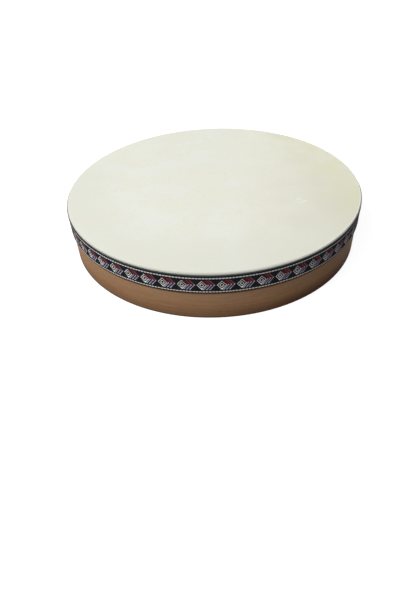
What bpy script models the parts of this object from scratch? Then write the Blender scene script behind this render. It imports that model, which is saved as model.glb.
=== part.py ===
"""A bendir: a frame drum with a fixed goatskin head, a woven ribbon over its tacks and three gut snares.

Metres, +Z up. The drum stands on its open rim at z = 0 with the head on top, its axis is Z, and the
thumb hole is in the side that faces +Y. The snares cross the drum along X, against the head's underside.
"""

import math

import bmesh
import bpy
from mathutils import Euler, Matrix, Vector

# Bent wood hoop
HOOP_RADIUS = 0.2032
HOOP_WALL = 0.009
HOOP_HEIGHT = 0.068
BEARING_ROUND = 0.0015
INNER_CHAMFER = 0.003
BASE_EASE = 0.001

# Scarf joint that closes the hoop, with its glue line left open
SCARF_ANGLE = 135.0
SCARF_LENGTH = 0.105
SCARF_NOSE = 0.0006
GLUE_LINE = 0.0003

# Brads through the scarf joint, below the ribbon
BRAD_COLUMNS = 3
BRAD_ROWS = 2
BRAD_COLUMN_PITCH = 0.026
BRAD_EDGE_MARGIN = 0.009
BRAD_HEAD_RADIUS = 0.0016
BRAD_HEAD_THICKNESS = 0.0006
BRAD_SHANK_RADIUS = 0.0008
BRAD_POINT_RADIUS = 0.0003
BRAD_POINT_COVER = 0.0015

# Thumb hole
THUMB_HOLE_ANGLE = 90.0
THUMB_HOLE_RADIUS = 0.0125
THUMB_HOLE_ROUND = 0.0015

# Goatskin head, lapped down the outside of the hoop
SKIN_THICKNESS = 0.0008
SKIRT_COVER = 0.0012

# Hide tacks that hold the skirt, hidden by the ribbon
TACK_COUNT = 24
TACK_HEAD_RADIUS = 0.003
TACK_HEAD_THICKNESS = 0.0004
TACK_SHANK_RADIUS = 0.0009
TACK_POINT_RADIUS = 0.0003
TACK_POINT_COVER = 0.002
TACK_SEAT_GAP = 0.0002

# Woven ribbon, lapped over its own start
RIBBON_WIDTH = 0.0254
RIBBON_THICKNESS = 0.0006
RIBBON_DROP = 0.0024
RIBBON_LAP_ANGLE = 135.0
RIBBON_LAP = 0.018
RIBBON_RAMP = 0.012
RIBBON_CREST = 0.0012

# Gut snares
SNARE_COUNT = 3
SNARE_RADIUS = 0.0006
SNARE_PITCH = 0.007
SNARE_TAIL = 0.011
SNARE_EASE = 0.001
KNOT_RADIUS = 0.0015

# Clearances
SEAT_GAP = 0.0003
HOLE_GAP = 0.00015
CUT_PAST = 0.003

# How finely round shapes are cut into flats
HOOP_SIDES = 120
EDGE_STEPS = 4
PIN_SIDES = 10
HOLE_SIDES = 32
KNOT_STEPS = 6

# Levels and radii that follow from the sizes above
HOOP_INNER = HOOP_RADIUS - HOOP_WALL
EDGE_CENTRE = (HOOP_RADIUS - BEARING_ROUND, HOOP_HEIGHT - BEARING_ROUND)
SKIN_INNER = HOOP_RADIUS + SEAT_GAP
SKIN_OUTER = SKIN_INNER + SKIN_THICKNESS
HEAD_UNDERSIDE = HOOP_HEIGHT + SEAT_GAP
HEAD_TOP = HEAD_UNDERSIDE + SKIN_THICKNESS
RIBBON_TOP = HEAD_TOP - RIBBON_DROP
RIBBON_BOTTOM = RIBBON_TOP - RIBBON_WIDTH
RIBBON_MIDDLE = (RIBBON_TOP + RIBBON_BOTTOM) / 2
RIBBON_INNER = SKIN_OUTER + SEAT_GAP
FLAT_SHARE = math.cos(math.pi / HOOP_SIDES)  # a flat's distance from the axis, over a corner's

WOOD = ((0.262, 0.138, 0.078), 0.45, 0.0)
SKIN = ((0.79, 0.77, 0.66), 0.55, 0.0)
RIBBON = ((0.03, 0.03, 0.04), 0.8, 0.0)
GUT = ((0.62, 0.48, 0.27), 0.4, 0.0)
STEEL = ((0.42, 0.43, 0.45), 0.4, 1.0)
BRASS = ((0.62, 0.43, 0.17), 0.35, 1.0)


def arc(centre, radius, start, stop, steps):
    """Points on a circle about centre, from angle start to angle stop, both in degrees."""
    angles = [math.radians(start + (stop - start) * i / steps) for i in range(steps + 1)]
    return [(centre[0] + radius * math.cos(a), centre[1] + radius * math.sin(a)) for a in angles]


def finished_mesh(name, bm):
    """A mesh from bm, with its faces pointing out and its round sides shaded smooth."""
    bmesh.ops.recalc_face_normals(bm, faces=bm.faces)
    mesh = bpy.data.meshes.new(name)
    bm.to_mesh(mesh)
    bm.free()
    mesh.shade_smooth()
    mesh.set_sharp_from_angle(angle=math.radians(30))
    return mesh


def turned(name, profile, sides):
    """A profile of (radius, z) points turned about Z. It is closed into a ring unless it ends on the axis."""
    bm = bmesh.new()
    verts = [bm.verts.new((radius, 0.0, z)) for radius, z in profile]
    edges = [bm.edges.new(pair) for pair in zip(verts, verts[1:])]
    if profile[0][0] > 0.0:
        edges.append(bm.edges.new((verts[-1], verts[0])))
    bmesh.ops.spin(bm, geom=verts + edges, axis=(0, 0, 1), angle=2 * math.pi, steps=sides, use_merge=True)
    bmesh.ops.remove_doubles(bm, verts=bm.verts, dist=1e-7)
    return finished_mesh(name, bm)


def lofted(name, sections):
    """A solid through a row of outlines that each have as many points, capped at both ends."""
    bm = bmesh.new()
    rows = [[bm.verts.new(point) for point in section] for section in sections]
    for near, far in zip(rows, rows[1:]):
        for i, corner in enumerate(near):
            after = (i + 1) % len(near)
            bm.faces.new((corner, near[after], far[after], far[i]))
    bm.faces.new(rows[0])
    bm.faces.new(rows[-1])
    return finished_mesh(name, bm)


def material(name, finish):
    """A Principled BSDF of that colour, roughness and metallic value."""
    colour, roughness, metallic = finish
    made = bpy.data.materials.new(name)
    made.use_nodes = True
    shader = made.node_tree.nodes["Principled BSDF"]
    shader.inputs["Base Color"].default_value = (*colour, 1.0)
    shader.inputs["Roughness"].default_value = roughness
    shader.inputs["Metallic"].default_value = metallic
    made.diffuse_color = (*colour, 1.0)
    return made


def place(name, data, finish=None, location=(0, 0, 0), rotation=(0, 0, 0), parent=None):
    """Adds an object to the scene, and its material if it has a finish."""
    made = bpy.data.objects.new(name, data)
    made.location = location
    made.rotation_euler = rotation
    made.parent = parent
    if finish is not None and not data.materials:
        data.materials.append(material(name, finish))
    bpy.context.scene.collection.objects.link(made)
    return made


def cutter(name, meshes_and_places):
    """One hidden object that holds each mesh at its place, for a Boolean to cut with."""
    bm = bmesh.new()
    for mesh, matrix in meshes_and_places:
        moved = mesh.copy()
        moved.transform(matrix)
        bm.from_mesh(moved)
    joined = finished_mesh(name, bm)
    made = place(name, joined)
    made.hide_render = True
    made.display_type = "WIRE"
    return made


def cut(target, tool):
    """Takes the cutter's shape out of the target."""
    modifier = target.modifiers.new(tool.name, "BOOLEAN")
    modifier.operation = "DIFFERENCE"
    modifier.solver = "EXACT"
    modifier.object = tool


def radial(angle, radius, z):
    """Location and rotation that put a turned piece's +Z along the outward radius at angle, in degrees."""
    turn = math.radians(angle)
    location = Vector((radius * math.cos(turn), radius * math.sin(turn), z))
    return location, Euler((0.0, math.pi / 2, turn))


def radial_matrix(angle, radius, z):
    location, rotation = radial(angle, radius, z)
    return Matrix.Translation(location) @ rotation.to_matrix().to_4x4()


def pin_profile(head_radius, head_thickness, shank_radius, point_radius, shank_length, grown=0.0, seat=0.0):
    """A flat-headed pin with its head's outer face at z = 0 and its point at -z.

    grown widens every radius and lengthens the point, and seat deepens the head, which gives the hole
    that takes the pin. The hole also runs out past the head's outer face.
    """
    outer = CUT_PAST if grown else 0.0
    under = -head_thickness - seat
    tip = -head_thickness - shank_length - grown
    return [
        (0.0, outer),
        (head_radius + grown, outer),
        (head_radius + grown, under),
        (shank_radius + grown, under),
        (point_radius + grown, tip),
        (0.0, tip),
    ]


def hoop_mesh():
    """The hoop's section: eased at the base, rounded outside its bearing edge and chamfered inside it."""
    bearing = arc(EDGE_CENTRE, BEARING_ROUND, 0, 90, EDGE_STEPS)
    profile = [(HOOP_RADIUS - BASE_EASE, 0.0), (HOOP_RADIUS, BASE_EASE), *bearing]
    profile += [(HOOP_INNER + INNER_CHAMFER, HOOP_HEIGHT), (HOOP_INNER, HOOP_HEIGHT - INNER_CHAMFER)]
    profile += [(HOOP_INNER, BASE_EASE), (HOOP_INNER + BASE_EASE, 0.0)]
    return turned("frame_hoop", profile, HOOP_SIDES)


def scarf_path():
    """Plan of the glue line: in through the hoop's inner face, aslant through its wall, and out."""
    half = math.degrees(SCARF_LENGTH / (HOOP_RADIUS - HOOP_WALL / 2)) / 2
    start, stop = SCARF_ANGLE - half, SCARF_ANGLE + half
    inner, outer = HOOP_INNER + SCARF_NOSE, HOOP_RADIUS * FLAT_SHARE - SCARF_NOSE
    steps = max(2, round((stop - start) * HOOP_SIDES / 360))
    slant = [
        (inner + (outer - inner) * i / steps, start + (stop - start) * i / steps) for i in range(steps + 1)
    ]
    polar = [(HOOP_INNER - CUT_PAST, start), *slant, (HOOP_RADIUS + CUT_PAST, stop)]
    return [Vector((r * math.cos(math.radians(a)), r * math.sin(math.radians(a)))) for r, a in polar]


def scarf_cutter():
    """A thin upright wall along the glue line, mitred where the line turns."""
    path = scarf_path()
    low, high = -CUT_PAST, HOOP_HEIGHT + CUT_PAST
    sections = []
    for i, point in enumerate(path):
        before = (point - path[i - 1]).normalized() if i > 0 else None
        after = (path[i + 1] - point).normalized() if i + 1 < len(path) else None
        before = before or after
        after = after or before
        middle = (before + after).normalized()
        across = Vector((-middle.y, middle.x)) * (GLUE_LINE / 2 / middle.dot(before))
        left, right = point + across, point - across
        sections.append([(*left, low), (*right, low), (*right, high), (*left, high)])
    return cutter("glue_line_cutter", [(lofted("glue_line", sections), Matrix.Identity(4))])


def brad_places():
    """Angle and height of each brad: columns along the scarf, rows between the base and the ribbon."""
    pitch = math.degrees(BRAD_COLUMN_PITCH / HOOP_RADIUS)
    low, high = BRAD_EDGE_MARGIN, RIBBON_BOTTOM - BRAD_EDGE_MARGIN
    return [
        (SCARF_ANGLE + (column - (BRAD_COLUMNS - 1) / 2) * pitch, low + (high - low) * row / (BRAD_ROWS - 1))
        for column in range(BRAD_COLUMNS)
        for row in range(BRAD_ROWS)
    ]


def brad_profile(**hole):
    """A brad as long as the wall allows, with wood left in front of its point."""
    shank = HOOP_RADIUS * FLAT_SHARE - HOOP_INNER - BRAD_HEAD_THICKNESS - BRAD_POINT_COVER
    return pin_profile(
        BRAD_HEAD_RADIUS, BRAD_HEAD_THICKNESS, BRAD_SHANK_RADIUS, BRAD_POINT_RADIUS, shank, **hole
    )


def tack_places():
    """Angle and height of each tack, evenly round the drum and clear of the snares at +X and -X."""
    return [((i + 0.5) * 360 / TACK_COUNT, RIBBON_MIDDLE) for i in range(TACK_COUNT)]


def tack_profile(**hole):
    """A tack as long as skin and wall allow, with wood left in front of its point."""
    shank = SKIN_OUTER * FLAT_SHARE - HOOP_INNER - TACK_HEAD_THICKNESS - TACK_POINT_COVER
    return pin_profile(
        TACK_HEAD_RADIUS, TACK_HEAD_THICKNESS, TACK_SHANK_RADIUS, TACK_POINT_RADIUS, shank, **hole
    )


def thumb_hole_cutter():
    """A round hole through the wall, its edges rounded inside and out."""
    half = HOOP_WALL / 2
    mouth = THUMB_HOLE_RADIUS + THUMB_HOLE_ROUND
    straight = half - THUMB_HOLE_ROUND
    outer = arc((mouth, straight), THUMB_HOLE_ROUND, 90, 180, EDGE_STEPS)
    inner = arc((mouth, -straight), THUMB_HOLE_ROUND, 180, 270, EDGE_STEPS)
    profile = [(0.0, half + CUT_PAST), (mouth, half + CUT_PAST), *outer]
    profile += [*inner, (mouth, -half - CUT_PAST), (0.0, -half - CUT_PAST)]
    hole = turned("thumb_hole", profile, HOLE_SIDES)
    middle = radial_matrix(THUMB_HOLE_ANGLE, HOOP_RADIUS - half, RIBBON_BOTTOM / 2)
    return cutter("thumb_hole_cutter", [(hole, middle)])


def snare_offsets():
    return [(i - (SNARE_COUNT - 1) / 2) * SNARE_PITCH for i in range(SNARE_COUNT)]


def snare_line(offset):
    """Half of a snare's route as (x, z): from the middle of the drum, over the bearing edge, to its knot."""
    reach = math.sqrt(HOOP_RADIUS**2 - offset**2)
    turn = BEARING_ROUND + SNARE_EASE
    corner = (reach - turn, HOOP_HEIGHT - turn)
    bend = arc(corner, turn - SNARE_RADIUS, 90, 0, EDGE_STEPS)
    knot = (reach - KNOT_RADIUS, HOOP_HEIGHT - SNARE_TAIL)
    return bend, knot


def snare_slot(offset):
    """Outline of the slot for one end of a snare: across the bearing edge and down the hoop's outside."""
    bend, knot = snare_line(offset)
    clear = SNARE_RADIUS + SEAT_GAP
    floor = [(bend[0][0], bend[0][1] - clear), (bend[-1][0] - clear, bend[-1][1])]
    inside, outside = HOOP_INNER - CUT_PAST, HOOP_RADIUS + CUT_PAST
    above = HOOP_HEIGHT + CUT_PAST
    mouth = [(knot[0] - clear, knot[1]), (outside, knot[1]), (outside, above)]
    return [(inside, above), (inside, floor[0][1]), *floor, *mouth]


def snare_cutters():
    """The slots and the knots' pockets, at both ends of each snare."""
    wide = SNARE_RADIUS + SEAT_GAP
    slots, pockets = [], []
    for offset in snare_offsets():
        outline = snare_slot(offset)
        sections = [[(x, side, z) for x, z in outline] for side in (-wide, wide)]
        _, knot = snare_line(offset)
        deep = 2 * KNOT_RADIUS + SEAT_GAP
        round_pocket = [(0.0, CUT_PAST), (KNOT_RADIUS + SEAT_GAP, CUT_PAST)]
        round_pocket += [(KNOT_RADIUS + SEAT_GAP, -deep), (0.0, -deep)]
        for end in (0.0, math.pi):
            turn = Matrix.Rotation(end, 4, "Z")
            shift = offset if end == 0.0 else -offset
            slot = lofted("snare_slot", sections)
            slots.append((slot, turn @ Matrix.Translation((0, shift, 0))))
            pocket = turned("knot_pocket", round_pocket, 2 * PIN_SIDES)
            mouth = Matrix.Translation((knot[0] + KNOT_RADIUS, shift, knot[1]))
            pockets.append((pocket, turn @ mouth @ Matrix.Rotation(math.pi / 2, 4, "Y")))
    return [cutter("snare_slot_cutter", slots), cutter("knot_pocket_cutter", pockets)]


def frame_hoop(tack_holes, parent):
    """The hoop, with its glue line, thumb hole, snare slots, and the holes that tacks and brads fill."""
    hoop = place("frame_hoop", hoop_mesh(), WOOD, parent=parent)
    brad_hole = turned("brad_hole", brad_profile(grown=HOLE_GAP, seat=HOLE_GAP), PIN_SIDES)
    brad_seat = HOOP_RADIUS * FLAT_SHARE
    brad_holes = [(brad_hole, radial_matrix(angle, brad_seat, z)) for angle, z in brad_places()]
    cut(hoop, thumb_hole_cutter())
    for tool in snare_cutters():
        cut(hoop, tool)
    cut(hoop, tack_holes)
    cut(hoop, cutter("brad_hole_cutter", brad_holes))
    cut(hoop, scarf_cutter())
    return hoop


def goatskin_head(tack_holes, parent):
    """The head: flat over the hoop, round its bearing edge and down to just above the ribbon's lower edge."""
    hem = RIBBON_BOTTOM + SKIRT_COVER
    round_inner = BEARING_ROUND + SEAT_GAP
    outer = arc(EDGE_CENTRE, round_inner + SKIN_THICKNESS, 90, 0, EDGE_STEPS)
    inner = arc(EDGE_CENTRE, round_inner, 0, 90, EDGE_STEPS)
    profile = [(0.0, HEAD_TOP), *outer, (SKIN_OUTER, hem), (SKIN_INNER, hem), *inner, (0.0, HEAD_UNDERSIDE)]
    skin = place("goatskin_head", turned("goatskin_head", profile, HOOP_SIDES), SKIN, parent=parent)
    cut(skin, tack_holes)
    return skin


def ribbon_trim(parent):
    """A flat band once round the drum, whose end climbs a ramp and lies over its start."""
    lap, ramp, crest = [math.degrees(s / RIBBON_INNER) for s in (RIBBON_LAP, RIBBON_RAMP, RIBBON_CREST)]
    start = RIBBON_LAP_ANGLE - lap / 2
    foot, top, stop = start + 360 - crest - ramp, start + 360 - crest, start + 360 + lap
    step = 360 / HOOP_SIDES
    grid = [k * step for k in range(math.ceil(start / step), math.ceil(stop / step))]
    lift = RIBBON_THICKNESS + SEAT_GAP
    sections = []
    for angle in sorted({*grid, start, foot, top, stop}):
        climbed = min(1.0, max(0.0, (angle - foot) / ramp))
        inner = on_flats(RIBBON_INNER, angle) + lift * climbed
        outer = inner + RIBBON_THICKNESS
        turn = math.radians(angle)
        corners = [(inner, RIBBON_BOTTOM), (outer, RIBBON_BOTTOM), (outer, RIBBON_TOP), (inner, RIBBON_TOP)]
        sections.append([(r * math.cos(turn), r * math.sin(turn), z) for r, z in corners])
    return place("ribbon_trim", lofted("ribbon_trim", sections), RIBBON, parent=parent)


def on_flats(radius, angle):
    """Distance from the axis, at angle, of a round piece cut into flats whose corners lie at radius."""
    step = 360 / HOOP_SIDES
    from_middle = math.radians((angle % step) - step / 2)
    return radius * FLAT_SHARE / math.cos(from_middle)


def snare_gut(name, offset, parent):
    """One gut string with a knot at each end, as a curve whose points swell into the knots."""
    bend, knot = snare_line(offset)
    start = Vector((bend[-1][0], bend[-1][1]))
    along = (Vector(knot) - start).normalized()
    neck = math.asin(SNARE_RADIUS / KNOT_RADIUS)
    half = [(x, z, 1.0) for x, z in bend]
    for i in range(KNOT_STEPS + 1):
        angle = math.pi - neck - (math.pi - 2 * neck) * i / KNOT_STEPS
        point = Vector(knot) + along * (KNOT_RADIUS * math.cos(angle))
        half.append((point.x, point.y, KNOT_RADIUS * math.sin(angle) / SNARE_RADIUS))
    route = [(-x, z, swell) for x, z, swell in reversed(half)] + half
    curve = bpy.data.curves.new(name, "CURVE")
    curve.dimensions = "3D"
    curve.bevel_depth = SNARE_RADIUS
    curve.bevel_resolution = 2
    curve.use_fill_caps = True
    spline = curve.splines.new("POLY")
    spline.points.add(len(route) - 1)
    for point, (x, z, swell) in zip(spline.points, route):
        point.co = (x, 0.0, z, 1.0)
        point.radius = swell
    return place(name, curve, GUT, location=(0, offset, 0), parent=parent)


def clear_scene():
    for old in list(bpy.data.objects):
        bpy.data.objects.remove(old)


def main():
    clear_scene()
    bendir = place("bendir", None)
    tack_seat = SKIN_OUTER * FLAT_SHARE
    tack_hole = turned("tack_hole", tack_profile(grown=HOLE_GAP, seat=TACK_SEAT_GAP), PIN_SIDES)
    tack_holes = cutter(
        "tack_hole_cutter", [(tack_hole, radial_matrix(angle, tack_seat, z)) for angle, z in tack_places()]
    )
    frame_hoop(tack_holes, bendir)
    goatskin_head(tack_holes, bendir)
    ribbon_trim(bendir)
    tack = turned("hide_tack", tack_profile(), PIN_SIDES)
    for number, (angle, z) in enumerate(tack_places(), 1):
        place(f"hide_tack_{number:02d}", tack, STEEL, *radial(angle, tack_seat, z), parent=bendir)
    brad = turned("scarf_brad", brad_profile(), PIN_SIDES)
    for number, (angle, z) in enumerate(brad_places(), 1):
        place(f"scarf_brad_{number}", brad, BRASS, *radial(angle, HOOP_RADIUS * FLAT_SHARE, z), parent=bendir)
    for number, offset in enumerate(snare_offsets(), 1):
        snare_gut(f"snare_gut_{number}", offset, bendir)


main()
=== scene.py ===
"""A bendir, dressed round its solids: bent hoop, goatskin head, woven ribbon, gut snares, brads and tacks.

It is laid out as an add-on with an operator for each kind of piece, and is run as a script.
Everything is in metres on the drum's own axes: +Z up along the axis, thumb hole towards +Y.
"""

import math

import bpy
import numpy as np
from bpy.props import FloatProperty, FloatVectorProperty, IntProperty, PointerProperty
from mathutils import Matrix, Vector


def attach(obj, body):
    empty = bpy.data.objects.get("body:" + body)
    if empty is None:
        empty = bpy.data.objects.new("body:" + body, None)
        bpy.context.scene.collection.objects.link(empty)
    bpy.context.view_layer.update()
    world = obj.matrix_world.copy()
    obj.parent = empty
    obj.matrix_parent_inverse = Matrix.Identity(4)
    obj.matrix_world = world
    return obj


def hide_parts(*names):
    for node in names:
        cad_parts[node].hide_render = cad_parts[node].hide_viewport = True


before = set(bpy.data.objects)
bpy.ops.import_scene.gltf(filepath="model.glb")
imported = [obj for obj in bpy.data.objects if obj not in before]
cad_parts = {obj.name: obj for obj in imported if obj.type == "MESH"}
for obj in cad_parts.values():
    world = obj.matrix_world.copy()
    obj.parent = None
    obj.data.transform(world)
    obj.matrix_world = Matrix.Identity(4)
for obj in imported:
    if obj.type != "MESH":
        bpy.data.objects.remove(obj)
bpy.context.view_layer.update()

bl_info = {
    "name": "Bendir",
    "version": (1, 0, 0),
    "blender": (4, 5, 0),
    "location": "3D View > Sidebar > Bendir",
    "description": "Makes the visible pieces of a bendir round its solids",
    "category": "Object",
}

MM = 0.001
WELD = 1e-7
TOUCH = 1e-6

# The hoop's section
HOOP_RADIUS = 0.2032
HOOP_WALL = 0.009
BEARING_ROUND = 0.0015
INNER_CHAMFER = 0.003
BASE_EASE = 0.001

# Where the scarf joint comes out of the hoop's two faces, and half its groove's width, in degrees
SEAM_OUTER = 150.14
SEAM_INNER = 119.86
SEAM_HALF = 0.06

# The window in the wall round the thumb hole: its sides in degrees, its ends in mm of height
WINDOW_SIDES = (85, 95)
WINDOW_ENDS = (3.5, 38)
THUMB_EASE = 0.0015

# Head and ribbon, as distances from the axis and heights; the ribbon's ends and ramp in degrees
SKIN_INNER = 0.2035
SKIN_OUTER = 0.2043
HEAD_UNDERSIDE = 0.0683
SKIN_HEM = 0.0425
RIBBON_OUTER = 0.2052
RIBBON_THICK = 0.0006
RIBBON_START = 132.48
RIBBON_STOP = 497.52
RAMP_FOOT = 488.78
RAMP_TOP = 492.14
LAP_LIFT = 0.0009

# The ribbon's raised cords: middle and half width, from its top down
RAISED_CORDS = ((0.0046, 0.0009), (0.0238, 0.0007))

# Its woven figure, in mm: middles of the cords, and the threads' pitch along and down the ribbon
UPPER_CORD = 4.65
LOWER_CORD = 23.75
WEFT_PITCH = 0.36
WARP_PITCH = 0.34

# Brads of the scarf joint: middle column in degrees, pitch round the hoop, and the two rows' heights
BRAD_MIDDLE = 135.0
BRAD_PITCH = 0.026
BRAD_LOW = 0.009
BRAD_HIGH = 0.0323

# Snares: radius of their turn over the edge, length down the outside, room about them in their slots
SNARE_TURN = 0.0025
SNARE_TAIL = 0.011
SLOT_CLEAR = 0.0003

# Stage: the camera's turn about Z, tilt up from straight down and roll in degrees, its lens in mm
CAMERA_PLACE = (0.0, -0.61061, 0.38993)
CAMERA_TURNS = ((2.475, "Z"), (90 - 41.535, "X"), (-3.275, "Z"))
CAMERA_LENS = 28.150
LAMPS_AIM = (0, 0, 0.03)
FLOOR_HALF = 6.0
FLOOR_LEVEL = -0.0001


# Meshes


def grid_surface(points, closed=False):
    """Quads between neighbours in a grid of points; if closed, the last column meets the first."""
    columns, rows = points.shape[:2]
    here = np.arange(columns * rows).reshape(columns, rows)
    ahead = np.roll(here, -1, axis=0)
    if not closed:
        here, ahead = here[:-1], ahead[:-1]
    quads = np.stack([here[:, :-1], ahead[:, :-1], ahead[:, 1:], here[:, 1:]], axis=-1)
    return points.reshape(-1, 3), quads


def welded_mesh(name, surfaces, sharp=40.0):
    """One mesh of several surfaces, with points at the same place joined and flat faces dropped."""
    starts = np.cumsum([0] + [len(points) for points, _ in surfaces])
    points = np.concatenate([points for points, _ in surfaces])
    quads = np.concatenate([quads.reshape(-1, 4) + start for (_, quads), start in zip(surfaces, starts)])
    keys = np.round(points / WELD).astype(np.int64)
    _, first, same = np.unique(keys, axis=0, return_index=True, return_inverse=True)
    quads = same.reshape(-1)[quads]
    low, high = quads[:, 0] == quads[:, 1], quads[:, 2] == quads[:, 3]
    side = (quads[:, 0] == quads[:, 3]) | (quads[:, 1] == quads[:, 2])
    faces = quads[~(low | high | side)].tolist()
    faces += quads[low & ~high & ~side][:, 1:].tolist()
    faces += quads[high & ~low & ~side][:, :3].tolist()
    mesh = bpy.data.meshes.new(name)
    mesh.from_pydata(points[first].tolist(), [], faces)
    mesh.polygons.foreach_set("use_smooth", np.ones(len(mesh.polygons), dtype=bool))
    mesh.set_sharp_from_angle(angle=math.radians(sharp))
    mesh.validate()
    mesh.update()
    return mesh


def placed(name, data):
    """A new object in the scene, for a mesh, a lamp or a camera."""
    thing = bpy.data.objects.new(name, data)
    bpy.context.scene.collection.objects.link(thing)
    return thing


def add_piece(name, mesh, material, slot, *nodes):
    """Puts a mesh in the scene as a piece that rides on the drum and stands for named solids."""
    piece = placed(name, mesh)
    mesh.materials.append(material)
    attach(piece, "root")
    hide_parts(*nodes)
    return piece


def turned_points(angles, profile):
    """A profile of (distance from the axis, height) turned about Z: x = r cos a, y = r sin a, z = h."""
    turn = np.radians(angles)[:, None]
    radius, height = np.asarray(profile).T
    return np.stack([radius * np.cos(turn), radius * np.sin(turn), height + 0 * turn], axis=-1)


def arc(centre, radius, start, stop, steps):
    """Points on a circle: centre + radius (cos a, sin a), a going from start to stop in degrees."""
    turn = np.radians(np.linspace(start, stop, steps + 1))
    return [(centre[0] + radius * c, centre[1] + radius * s) for c, s in zip(np.cos(turn), np.sin(turn))]


def waves(along, turns, sizes, shifts):
    """Unevenness round the drum: a sum of sines, each with its turns, size and shift."""
    return sum(size * np.sin(turn * along + shift) for turn, size, shift in zip(turns, sizes, shifts))


# Materials


def method(operation, swapped=False):
    """A method of Value that adds one Math node; swapped where the value stands second."""
    return lambda self, other: self.nodes.math(operation, *((other, self) if swapped else (self, other)))


class Value:
    """What a node puts out. A sum written with it adds the Math node that works it out."""

    __add__, __radd__ = method("ADD"), method("ADD", True)
    __sub__, __rsub__ = method("SUBTRACT"), method("SUBTRACT", True)
    __mul__ = method("MULTIPLY")
    __truediv__, __rtruediv__ = method("DIVIDE"), method("DIVIDE", True)
    __mod__ = method("FLOORED_MODULO")
    __lt__, __gt__ = method("LESS_THAN"), method("GREATER_THAN")
    at_most, at_least = method("MINIMUM"), method("MAXIMUM")

    def __init__(self, nodes, socket):
        self.nodes, self.socket = nodes, socket

    def __abs__(self):
        return self.nodes.math("ABSOLUTE", self)

    def clamped(self):
        """Holds the last sum between 0 and 1."""
        self.socket.node.use_clamp = True
        return self

    def step(self, low, high, start=0.0, stop=1.0, way="SMOOTHSTEP"):
        """Goes smoothly from start to stop as the value goes from low to high."""
        sockets = {0: self, 1: low, 2: high, 3: start, 4: stop}
        return self.nodes.add("ShaderNodeMapRange", sockets, interpolation_type=way)

    def near(self, middle, half, soft):
        """1 where the value is within half of middle, falling to 0 over the width soft."""
        return abs(self - middle).step(half - soft / 2, half + soft / 2, 1, 0)


class Nodes:
    """Adds nodes to one tree. A socket is given a Value, or a plain number, vector or colour."""

    def __init__(self, tree):
        self.tree = tree

    def fill(self, node, sockets):
        """Links or sets a node's sockets, which are given by name or number."""
        for key, given in dict(sockets).items():
            socket = node.inputs[key]
            if isinstance(given, Value):
                self.tree.links.new(given.socket, socket)
            else:
                socket.default_value = (*given, 1.0) if socket.type == "RGBA" else given

    def node(self, kind, sockets=(), **settings):
        node = self.tree.nodes.new(kind)
        for name, setting in settings.items():
            setattr(node, name, setting)
        self.fill(node, sockets)
        return node

    def add(self, kind, sockets=(), output=0, **settings):
        return Value(self, self.node(kind, sockets, **settings).outputs[output])

    def outputs(self, node):
        return [Value(self, socket) for socket in node.outputs]

    def math(self, operation, *values):
        return self.add("ShaderNodeMath", enumerate(values), operation=operation)

    def hypot(self, x, y):
        return self.math("SQRT", x * x + y * y)

    def mix(self, share, low, high):
        """From the colour low to the colour high as share goes from 0 to 1."""
        return self.add("ShaderNodeMix", {0: share, 6: low, 7: high}, 2, data_type="RGBA")

    def layers(self, colour, *coats):
        """A colour with coats laid over it in turn, each a share from 0 to 1 and a colour."""
        for share, coat in coats:
            colour = self.mix(share, colour, coat)
        return colour

    def bumps(self, *heights):
        """A normal from heights over each other, each with the distance 1 stands for and its strength."""
        under = {}
        for height, distance, strength in heights:
            sockets = {"Height": height, "Distance": distance, "Strength": strength, **under}
            under = {"Normal": self.add("ShaderNodeBump", sockets)}
        return under["Normal"]

    def group(self, build, **sockets):
        """The outputs of a shared node group, named after the function that builds it the first time."""
        name = build.__name__.replace("_", " ").capitalize()
        tree = bpy.data.node_groups.get(name) or build(name)
        return self.outputs(self.node("ShaderNodeGroup", sockets, node_tree=tree))

    def mottle(self, vector, size, contrast):
        return self.group(soft_mottle, Vector=vector, Size=size, Contrast=contrast)[0]

    def fibres(self, vector, length, width, contrast):
        return self.group(long_fibres, Vector=vector, Length=length, Width=width, Contrast=contrast)[0]

    def noise(self, vector, scale, contrast, detail, rough):
        """Noise about 0.5, spread by a contrast and held between 0 and 1."""
        sockets = {"Vector": vector, "Scale": scale, "Detail": detail, "Roughness": rough}
        return ((self.add("ShaderNodeTexNoise", sockets) - 0.5) * contrast + 0.5).clamped()

    def parts(self, vector):
        return self.outputs(self.node("ShaderNodeSeparateXYZ", {0: vector}))

    def vector(self, *parts):
        return self.add("ShaderNodeCombineXYZ", enumerate(parts))

    def ends(self, **outputs):
        """Hands values to the outputs of a node group, and returns the group."""
        self.node("NodeGroupOutput", outputs)
        return self.tree

    def dress(self, **values):
        """Fills the shader's sockets, _ in a name standing for a space, and returns the material."""
        self.fill(self.shader, {name.replace("_", " "): value for name, value in values.items()})
        return self.material


# Kinds of the groups' sockets; the others are plain numbers
KINDS = {"Vector": "Vector", **dict.fromkeys(("Color", "Ground", "White", "Crimson", "Lavender"), "Color")}


def new_group(name, inputs, outputs):
    """A node group, its inputs and outputs named in strings: its nodes, and the values that come in."""
    tree = bpy.data.node_groups.new(name, "ShaderNodeTree")
    for side, sockets in (("INPUT", inputs), ("OUTPUT", outputs)):
        for socket in sockets.split():
            kind = "NodeSocket" + KINDS.get(socket, "Float")
            tree.interface.new_socket(socket, in_out=side, socket_type=kind)
    nodes = Nodes(tree)
    return nodes, nodes.outputs(nodes.node("NodeGroupInput"))[:-1]


def soft_mottle(name):
    """Cloudy patches: noise at a size in metres, spread by a contrast, from 0 to 1."""
    nodes, (vector, size, contrast) = new_group(name, "Vector Size Contrast", "Value")
    return nodes.ends(Value=nodes.noise(vector, 1 / size, contrast, 3, 0.5))


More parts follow.
